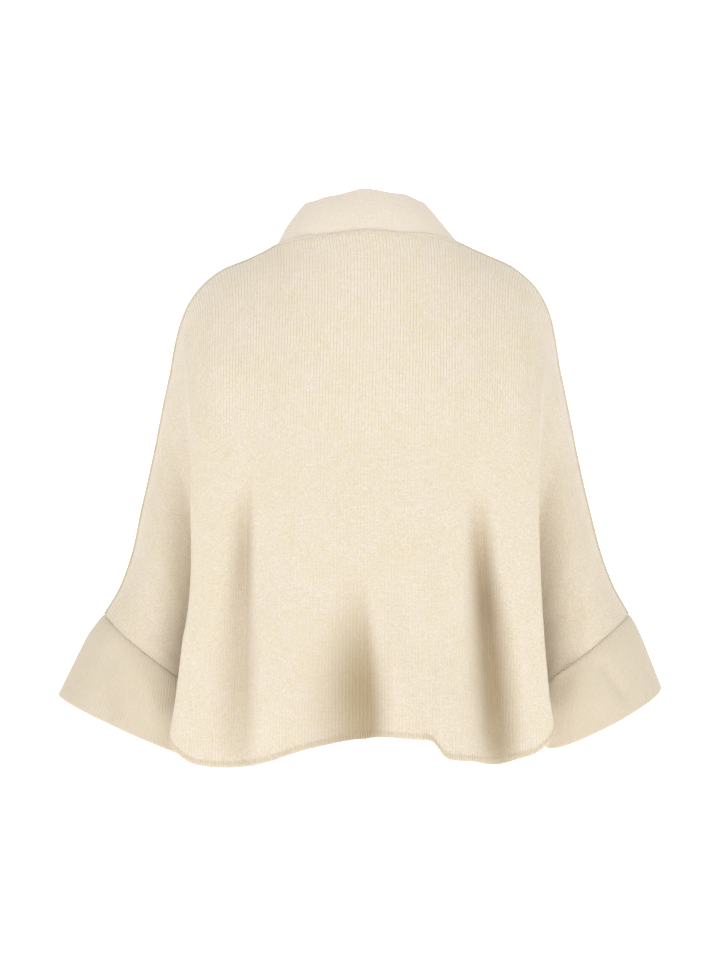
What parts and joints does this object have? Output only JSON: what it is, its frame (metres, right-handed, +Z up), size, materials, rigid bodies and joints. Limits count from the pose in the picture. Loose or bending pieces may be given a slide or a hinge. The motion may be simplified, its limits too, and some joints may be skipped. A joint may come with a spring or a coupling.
{
  "type": "knitted dolman cardigan garment",
  "caption": "Knitted cape-like cardigan with dolman sleeves cut in one, wide flared ribbed cuffs, a ribbed stand collar and plain front bands, worn open.",
  "frame": {"origin": "midway between the two neck points, level with them, where the wearer's shoulders and neck carry the garment", "axes": "+Z up; the wearer faces -Y, so the back panel is at +Y; the wearer's left is +X"},
  "size_m": [0.7813, 0.2883, 0.7381],
  "materials": {
    "body_knit": "brushed wool rib knit",
    "cuff_rib": "wool rib knit",
    "collar_rib": "fine wool rib knit",
    "band_rib": "fine wool rib knit"
  },
  "bodies": {
    "root": {"back": "body_knit", "front_left": "body_knit", "front_right": "body_knit", "cuff_left": "cuff_rib", "cuff_right": "cuff_rib", "collar": "collar_rib", "band_left": "band_rib", "band_right": "band_rib"}
  },
  "joints": []
}
